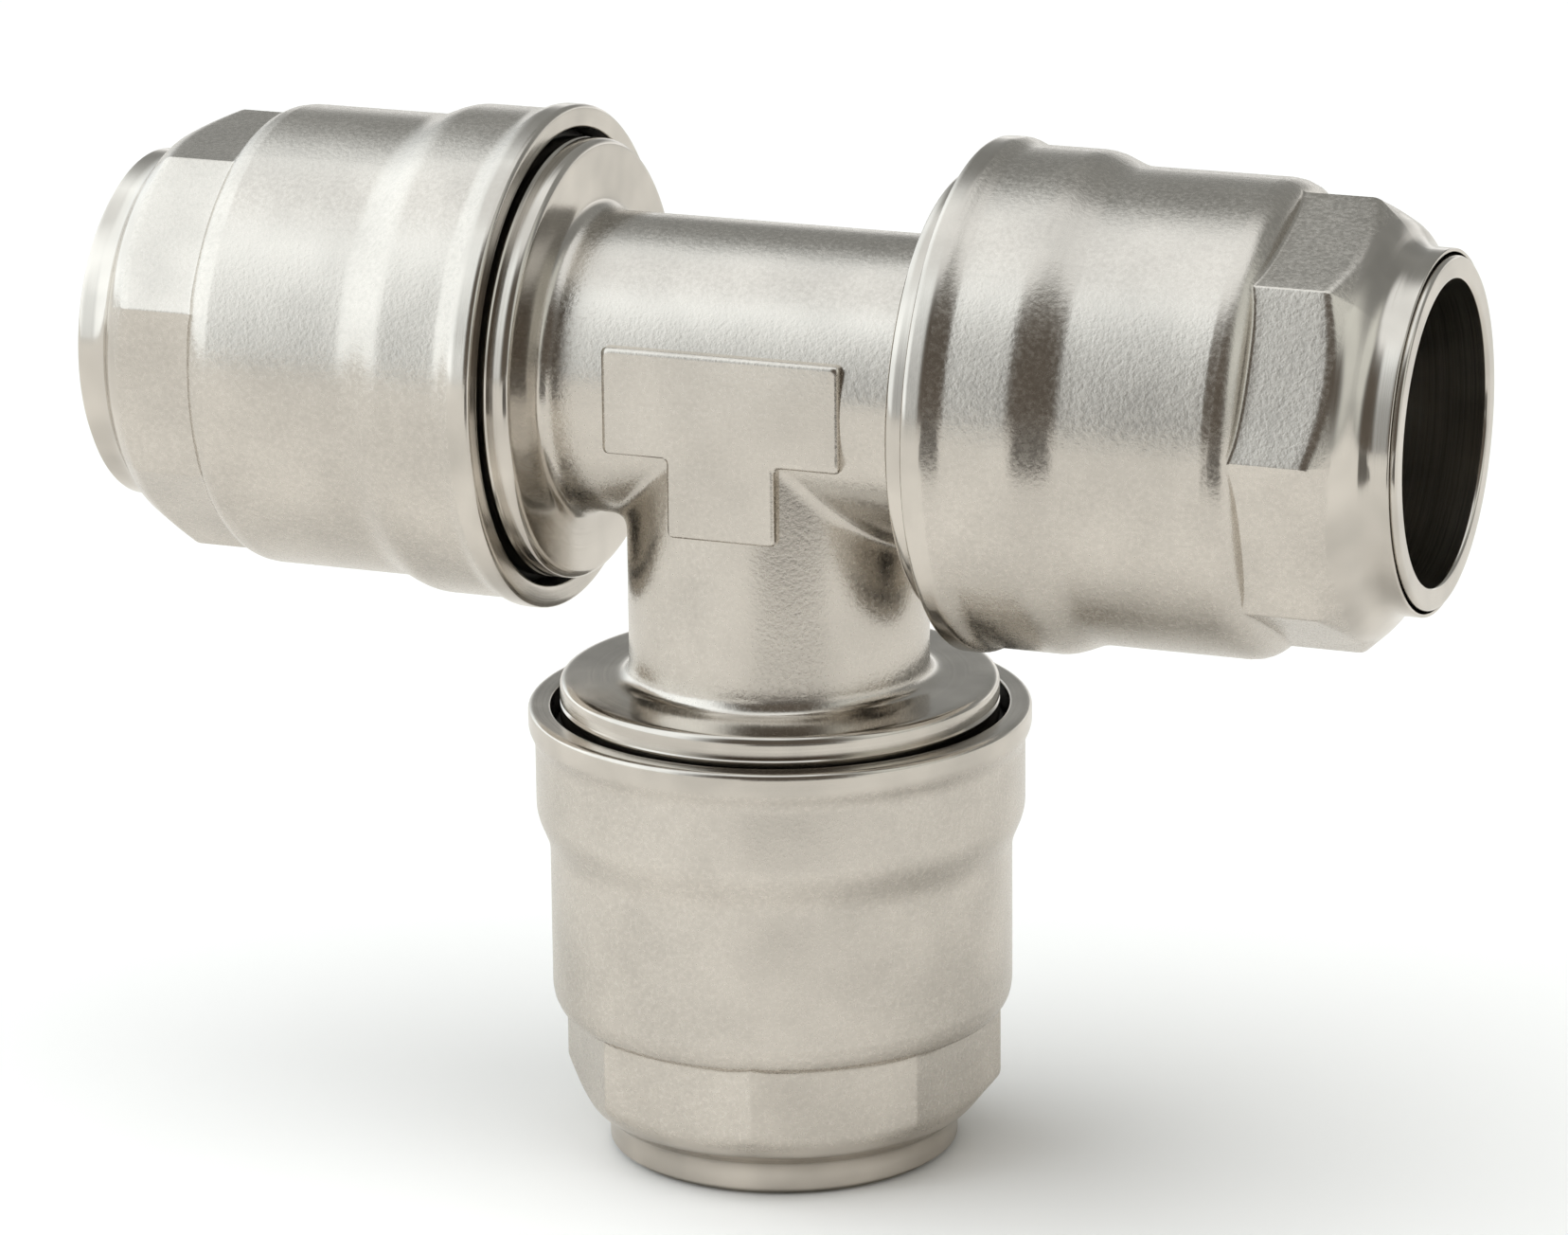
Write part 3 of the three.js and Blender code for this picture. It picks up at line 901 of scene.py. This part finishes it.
def nickel(name, colour, grain_roughness, smooth_roughness, grain_depth):
    """Nickel plate: blasted to a fine grain, or smooth with tool marks where it is machined."""
    nodes = Nodes(bpy.data.materials.new(name))
    shader = nodes.tree.nodes["Principled BSDF"]
    shader.inputs["Metallic"].default_value = 1.0
    machined = nodes.turned()[2]
    grain = nodes.noise(GRAIN_SIZE, 2.0)
    fine_grain = nodes.noise(FINE_GRAIN_SIZE, 1.0)
    cloud = nodes.noise(PLATE_CLOUD_SIZE, 2.0)
    marks = nodes.tool_marks(TOOL_MARK_SPACING)

    pale = tinted(colour, 1.12)
    dull = tinted(colour, 0.86)
    speck_share = 0.55
    tone = nodes.blend(nodes.remap(cloud, 0.0, 1.0, 0.35, 0.65), dull, pale, "RGBA")
    speck = nodes.blend(nodes.remap(grain, 0.0, 1.0, *NOISE_SPAN), dull, pale, "RGBA")
    blended = nodes.blend(nodes.remap(machined, speck_share, 0.0), tone, speck, "RGBA")
    nodes.link(blended, shader.inputs["Base Color"])

    rough = nodes.remap(grain, grain_roughness - 0.06, grain_roughness + 0.06, *NOISE_SPAN)
    sleek = nodes.remap(marks, smooth_roughness - 0.04, smooth_roughness + 0.05, *NOISE_SPAN)
    nodes.link(nodes.blend(machined, rough, sleek), shader.inputs["Roughness"])

    coarse = nodes.bump(grain, grain_depth)
    fine = nodes.bump(fine_grain, grain_depth * FINE_GRAIN_SHARE)
    lines = nodes.bump(marks, TOOL_MARK_DEPTH)
    fine_left_by_tool = 0.05
    nodes.link(nodes.remap(machined, 1.0, 0.0), coarse.inputs["Strength"])
    nodes.link(nodes.remap(machined, 1.0, fine_left_by_tool), fine.inputs["Strength"])
    nodes.link(nodes.remap(machined, 0.0, 1.0), lines.inputs["Strength"])
    nodes.link(coarse.outputs[0], fine.inputs["Normal"])
    nodes.link(fine.outputs[0], lines.inputs["Normal"])
    nodes.link(lines.outputs[0], shader.inputs["Normal"])
    return nodes.owner


def turned_metal(name, colour, roughness, mark_spacing, mark_depth):
    """Bare metal with fine tool marks around its axis."""
    nodes = Nodes(bpy.data.materials.new(name))
    shader = nodes.tree.nodes["Principled BSDF"]
    shader.inputs["Metallic"].default_value = 1.0
    marks = nodes.tool_marks(mark_spacing)
    cloud = nodes.noise(METAL_CLOUD_SIZE)
    dull = tinted(colour, 0.85)
    tint = nodes.blend(nodes.remap(cloud, 0.0, 1.0, *NOISE_SPAN), (*colour, 1), dull, "RGBA")
    nodes.link(tint, shader.inputs["Base Color"])
    sheen = nodes.remap(marks, roughness - 0.05, roughness + 0.08, *NOISE_SPAN)
    nodes.link(sheen, shader.inputs["Roughness"])
    nodes.link(nodes.bump(marks, mark_depth).outputs[0], shader.inputs["Normal"])
    return nodes.owner


def soft_material(name, colour, roughness, grain_size, grain_depth):
    """Rubber or plastic, with a faint moulded grain."""
    nodes = Nodes(bpy.data.materials.new(name))
    shader = nodes.tree.nodes["Principled BSDF"]
    grain = nodes.noise(grain_size)
    cloud = nodes.noise(SOFT_CLOUD_SIZE)
    pale = tinted(colour, 1.25, lift=0.004)
    tint = nodes.blend(nodes.remap(cloud, 0.0, 1.0, *NOISE_SPAN), (*colour, 1), pale, "RGBA")
    nodes.link(tint, shader.inputs["Base Color"])
    sheen = nodes.remap(grain, roughness - 0.08, roughness + 0.08, *NOISE_SPAN)
    nodes.link(sheen, shader.inputs["Roughness"])
    nodes.link(nodes.bump(grain, grain_depth).outputs[0], shader.inputs["Normal"])
    return nodes.owner


def make_materials():
    nickel_colour = (0.62, 0.585, 0.535)
    return {
        "body_nickel": nickel("body_nickel", nickel_colour, 0.24, 0.15, 0.012 * MM),
        "satin_nickel": nickel("satin_nickel", nickel_colour, 0.25, 0.16, 0.013 * MM),
        "bright_nickel": nickel("bright_nickel", (0.64, 0.605, 0.555), 0.3, 0.17, 0.006 * MM),
        "brass": turned_metal("brass", (0.78, 0.57, 0.27), 0.26, 0.12 * MM, 0.003 * MM),
        "stainless": turned_metal("stainless", (0.55, 0.55, 0.56), 0.28, 0.2 * MM, 0.002 * MM),
        "seal_rubber": soft_material(
            "seal_rubber", (0.012, 0.012, 0.012), 0.55, 0.3 * MM, 0.006 * MM
        ),
        "backup_plastic": soft_material(
            "backup_plastic", (0.72, 0.7, 0.64), 0.42, 0.4 * MM, 0.004 * MM
        ),
    }


# ------------------------------------------------------------------ assembly

def place(piece, body, node, slot, materials):
    """Paints a piece, says which body it rides on, and hides the CAD node it stands for."""
    piece.data.materials.clear()
    piece.data.materials.append(materials[slot])
    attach(piece, body)
    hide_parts(node)


def build_fitting():
    materials = make_materials()
    place(tee_body(), "body", "tee_body", "body_nickel", materials)
    for port in PORTS:
        side = port.side
        place(nut(port), f"nut_{side}", f"nut_{side}", "satin_nickel", materials)
        sleeve = collet(port)
        place(sleeve, f"collet_{side}", f"release_collet_{side}", "bright_nickel", materials)
        place(wedge_ring(port), f"clamp_{side}", f"wedge_ring_{side}", "brass", materials)
        place(grip_ring(port), f"clamp_{side}", f"grip_ring_{side}", "stainless", materials)
        place(washer(port), "body", f"backup_washer_{side}", "backup_plastic", materials)
        tube_seal = seal_ring("tube_o_ring", port, TUBE_SEAL_LOW, TUBE_SEAL_HIGH)
        place(tube_seal, "body", f"tube_seal_{side}", "seal_rubber", materials)
        dust_seal = seal_ring("dust_o_ring", port, DUST_SEAL_LOW, DUST_SEAL_HIGH)
        place(dust_seal, "body", f"dust_seal_{side}", "seal_rubber", materials)


# ------------------------------------------------------------------ stage

def direction(azimuth, elevation):
    """The way from the fitting towards a viewer at that azimuth and elevation, in degrees."""
    a, e = math.radians(azimuth), math.radians(elevation)
    return Vector((math.sin(a) * math.cos(e), -math.cos(a) * math.cos(e), math.sin(e)))


def make_camera():
    azimuth, elevation = 21.51, 16.41
    distance = 0.46223
    roll = math.radians(-0.571)
    lens_mm, sensor_mm = 156.07, 36
    across_aim, height_aim = 0.33 * MM, -17.02 * MM
    back = direction(azimuth, elevation)
    across = math.radians(azimuth)
    target = Vector((across_aim * math.cos(across), across_aim * math.sin(across), 0))
    target.z = AXIS_HEIGHT + height_aim
    right = Vector((0, 0, 1)).cross(back).normalized()
    up = back.cross(right)
    rolled_right = right * math.cos(roll) + up * math.sin(roll)
    rolled_up = up * math.cos(roll) - right * math.sin(roll)
    camera = bpy.data.cameras.new("camera")
    camera.lens = lens_mm
    camera.sensor_width = sensor_mm
    camera.clip_start = 0.01
    obj = new_object("camera", camera)
    turn = Matrix((rolled_right, rolled_up, back)).transposed()
    obj.matrix_world = Matrix.Translation(target + back * distance) @ turn.to_4x4()
    bpy.context.scene.camera = obj


SURROUNDINGS = (0.31, 0.315, 0.305)

# Studio panels, as seen from the fitting, in degrees: azimuth and half width, elevation and half
# height, how soft the edges are, and the brightness in red, green and blue. Later ones cover
# earlier ones.
PANELS = (
    (-80, 58, 22, 50, 17, (1.48, 1.56, 1.6)),
    (0, 180, 90, 29, 10, (1.16, 1.19, 1.2)),
    (86, 24, 28, 26, 12, (0.84, 0.86, 0.82)),
    (20, 34, 18, 36, 13, (0.14, 0.12, 0.1)),
    (180, 34, -4, 12, 8, (1.3, 1.3, 1.28)),
)
PLAIN_BACKDROP = (0.93, 0.925, 0.91)

TABLE_SIZE = 30
TABLE_DROP = 0.01 * MM
SHINE_DROP = 0.005 * MM
TABLE_COLOUR = (0.95, 0.945, 0.93)
# The table as the metal's reflections show it, darker than the table itself: painted shade in the
# reflections.
PAINTED_TABLE_REFLECTION_COLOUR = (0.82, 0.79, 0.75)
# A dark sheet that only reflections show: painted shade in the metal's reflections.
PAINTED_DARK_REFLECTION_COLOUR = (0.12, 0.11, 0.1)
MATT = 0.8


def soft_window(nodes, angle, half_width, softness):
    """One inside the half width and nothing outside it, with a soft edge, for an angle value."""
    size = nodes.add("ShaderNodeMath", operation="ABSOLUTE")
    nodes.link(angle, size.inputs[0])
    edge = nodes.add("ShaderNodeMapRange", interpolation_type="SMOOTHSTEP")
    edge.inputs["From Min"].default_value = math.radians(half_width + softness)
    edge.inputs["From Max"].default_value = math.radians(half_width - softness)
    nodes.link(size.outputs[0], edge.inputs["Value"])
    return edge.outputs["Result"]


def panel_mask(nodes, way, azimuth, half_width, elevation, half_height, softness):
    """One where a direction points at the panel and nothing elsewhere, with soft edges."""
    turn = nodes.add("ShaderNodeVectorRotate", rotation_type="Z_AXIS")
    turn.inputs["Angle"].default_value = math.radians(-azimuth)
    nodes.link(way, turn.inputs["Vector"])
    split = nodes.add("ShaderNodeSeparateXYZ")
    nodes.link(turn.outputs[0], split.inputs[0])
    towards = nodes.add("ShaderNodeMath", operation="MULTIPLY")
    towards.inputs[1].default_value = -1
    nodes.link(split.outputs["Y"], towards.inputs[0])
    across = nodes.add("ShaderNodeMath", operation="ARCTAN2")
    nodes.link(split.outputs["X"], across.inputs[0])
    nodes.link(towards.outputs[0], across.inputs[1])
    height = nodes.add("ShaderNodeMath", operation="ARCSINE")
    nodes.link(split.outputs["Z"], height.inputs[0])
    above = nodes.add("ShaderNodeMath", operation="SUBTRACT")
    above.inputs[1].default_value = math.radians(elevation)
    nodes.link(height.outputs[0], above.inputs[0])
    product = nodes.add("ShaderNodeMath", operation="MULTIPLY")
    wide = soft_window(nodes, across.outputs[0], half_width, softness)
    tall = soft_window(nodes, above.outputs[0], half_height, softness)
    nodes.link(wide, product.inputs[0])
    nodes.link(tall, product.inputs[1])
    return product.outputs[0]


def make_studio_light():
    """Surroundings like a photographer's table: softboxes, a reflector and a dark front.

    Only reflections show them. The camera sees a plain backdrop.
    """
    world = bpy.data.worlds.new("studio")
    nodes = Nodes(world)
    background = nodes.tree.nodes["Background"]
    way = nodes.add("ShaderNodeTexCoord").outputs["Generated"]
    colour = (*SURROUNDINGS, 1)
    for *shape, brightness in PANELS:
        mask = panel_mask(nodes, way, *shape)
        colour = nodes.blend(mask, colour, (*brightness, 1), "RGBA")
    seen = nodes.add("ShaderNodeLightPath").outputs["Is Camera Ray"]
    shown = nodes.blend(seen, colour, (*PLAIN_BACKDROP, 1), "RGBA")
    nodes.link(shown, background.inputs["Color"])
    bpy.context.scene.world = world


def facing_centre(obj, azimuth, elevation, distance):
    """Puts a light at that place, facing the fitting."""
    below_axis = 15 * MM
    centre = Vector((0, 0, AXIS_HEIGHT - below_axis))
    way = direction(azimuth, elevation)
    obj.location = centre + way * distance
    obj.rotation_euler = way.to_track_quat("Z", "Y").to_euler()


def table_light(name, azimuth, elevation, distance, size, watts):
    """A soft light that brightens the table, and that the shiny metal doesn't show."""
    light = bpy.data.lights.new(name, "AREA")
    light.shape = "RECTANGLE"
    light.size, light.size_y = size
    light.energy = watts
    obj = new_object(name, light)
    facing_centre(obj, azimuth, elevation, distance)
    obj.visible_glossy = False


def shine_only(name, mesh, colour):
    """A sheet on the table that shows in the metal's reflections, and nowhere else: a painted
    reflection.
    """
    sheet = new_object(name, mesh)
    sheet.data.materials.append(plain_material(f"{name}_paint", colour, MATT))
    sheet.visible_camera = False
    sheet.visible_diffuse = False
    sheet.visible_shadow = False
    return sheet


def painted_dark_reflection_mesh():
    """Painted shade for the metal's reflections: a dark sheet on the table in front of the
    fitting, from near it to far away.
    """
    near, far = 0.2, 3.0
    corner_places = [(2, near), (58, near), (50, far), (8, far)]
    corners = [tuple(direction(azimuth, 0) * reach) for azimuth, reach in corner_places]
    mesh = bpy.data.meshes.new("painted_dark_reflection")
    mesh.from_pydata(corners, [], [(0, 1, 2, 3)])
    return mesh


def plane_mesh(name, width, depth):
    mesh = bpy.data.meshes.new(name)
    x, y = width / 2, depth / 2
    mesh.from_pydata([(-x, -y, 0), (x, -y, 0), (x, y, 0), (-x, y, 0)], [], [(0, 1, 2, 3)])
    return mesh


def plain_material(name, colour, roughness):
    """An even, nearly shineless paint, for the stage."""
    material = bpy.data.materials.new(name)
    material.use_nodes = True
    shader = material.node_tree.nodes["Principled BSDF"]
    shader.inputs["Base Color"].default_value = (*colour, 1)
    shader.inputs["Roughness"].default_value = roughness
    shader.inputs["Specular IOR Level"].default_value = 0.1
    return material


def make_stage():
    floor = new_object("floor", plane_mesh("floor", TABLE_SIZE, TABLE_SIZE))
    floor.location.z = -TABLE_DROP
    floor.data.materials.append(plain_material("floor_paint", TABLE_COLOUR, MATT))
    make_studio_light()
    # A darker copy of the table that only reflections show: painted shade in the metal's
    # reflections.
    table_mesh = plane_mesh("painted_table_reflection", TABLE_SIZE, TABLE_SIZE)
    table = shine_only("painted_table_reflection", table_mesh, PAINTED_TABLE_REFLECTION_COLOUR)
    table.location.z = -SHINE_DROP
    # A dark sheet in front of the fitting that only reflections show: painted shade in the metal's
    # reflections.
    shine_only("painted_dark_reflection", painted_dark_reflection_mesh(), PAINTED_DARK_REFLECTION_COLOUR)
    table_light(
        "table_light", azimuth=10, elevation=72, distance=1.5, size=(1.8, 1.8), watts=12.5
    )
    bpy.context.scene.view_settings.view_transform = "Standard"


make_camera()
build_fitting()
make_stage()
